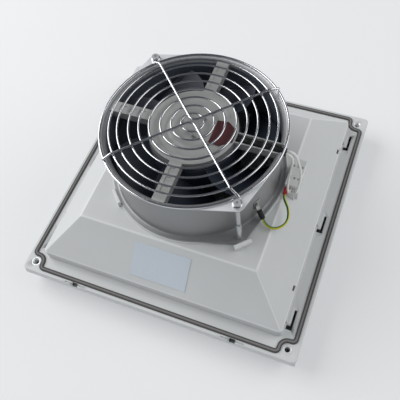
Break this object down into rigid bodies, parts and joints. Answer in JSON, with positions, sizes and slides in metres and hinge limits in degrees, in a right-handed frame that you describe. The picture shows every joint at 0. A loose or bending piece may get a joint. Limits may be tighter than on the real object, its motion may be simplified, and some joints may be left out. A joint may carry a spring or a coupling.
{
  "type": "cabinet fan",
  "caption": "Filter fan for an enclosure wall: square frame and funnel housing with hinged louvred cover, filter mat, round axial fan, wire finger guard and terminal block.",
  "frame": {"origin": "middle of the louvred front face that the part lies on, under the fan's axis", "axes": "+Z from the louvred front through the frame to the fan guard, along the fan's axis; +Y towards the cover's hinge; +X towards the terminal block"},
  "size_m": [0.255, 0.255, 0.132],
  "materials": {
    "housing_plastic": "satin light grey moulding",
    "gasket_foam": "dark foam strip",
    "zinc_steel": "zinc plated",
    "cover_plastic": "satin light grey moulding",
    "filter_fleece": "white fleece",
    "label_film": "blank silvery film",
    "casing_metal": "grey sheet",
    "spider_steel": "satin pressed sheet",
    "cast_alloy": "turned",
    "bearing_steel": "ground",
    "spring_steel": "dark spring steel",
    "lamination_steel": "stacked sheet",
    "winding_copper": "varnished copper",
    "rotor_paint": "black",
    "impeller_plastic": "near black",
    "maroon_card": "maroon insulating card",
    "black_sleeve": "black sleeve",
    "white_insulation": "white",
    "guard_chrome": "bright plated wire",
    "block_nylon": "milky white",
    "clamp_brass": "plain",
    "red_ferrule": "red collar",
    "earth_insulation": "green and yellow stripes"
  },
  "bodies": {
    "housing": {"housing": "housing_plastic", "frame_gasket": "gasket_foam", "corner_bushes": "zinc_steel", "filter_mat": "filter_fleece", "mat_grid": "cover_plastic", "rating_plate": "label_film", "fan_casing": "casing_metal", "motor_spider": "spider_steel", "plate_rivets": "zinc_steel", "bearing_tube": "cast_alloy", "bearing_outer_rings": "bearing_steel", "bearing_balls": "bearing_steel", "stator_core": "lamination_steel", "stator_windings": "winding_copper", "insulation_paper": "maroon_card", "lead_sleeve": "black_sleeve", "lead_wire_outer": "white_insulation", "lead_wire_inner": "white_insulation", "guard_rings": "guard_chrome", "guard_spokes": "guard_chrome", "guard_screws": "zinc_steel", "spacer_sleeves": "zinc_steel", "terminal_block": "block_nylon", "terminal_clamps": "clamp_brass", "terminal_screws": "zinc_steel", "earth_ferrule": "red_ferrule", "earth_wire": "earth_insulation", "earth_sleeve": "black_sleeve", "earth_tab": "zinc_steel", "earth_rivet": "zinc_steel"},
    "rotor": {"motor_shaft": "bearing_steel", "bearing_inner_rings": "bearing_steel", "shaft_circlip": "spring_steel", "rotor_ring": "lamination_steel", "rotor_cup": "rotor_paint", "impeller": "impeller_plastic"},
    "cover": {"louvre_cover": "cover_plastic"}
  },
  "joints": [
    {"name": "rotor_spin", "type": "hinge", "parent": "housing", "child": "rotor", "pos_m": [0, 0, 0.1], "axis": [0, 0, 1], "continuous": true},
    {"name": "cover_hinge", "type": "hinge", "parent": "housing", "child": "cover", "pos_m": [0, 0.124, 0.0143], "axis": [1, 0, 0], "range_deg": [0, 95]}
  ]
}
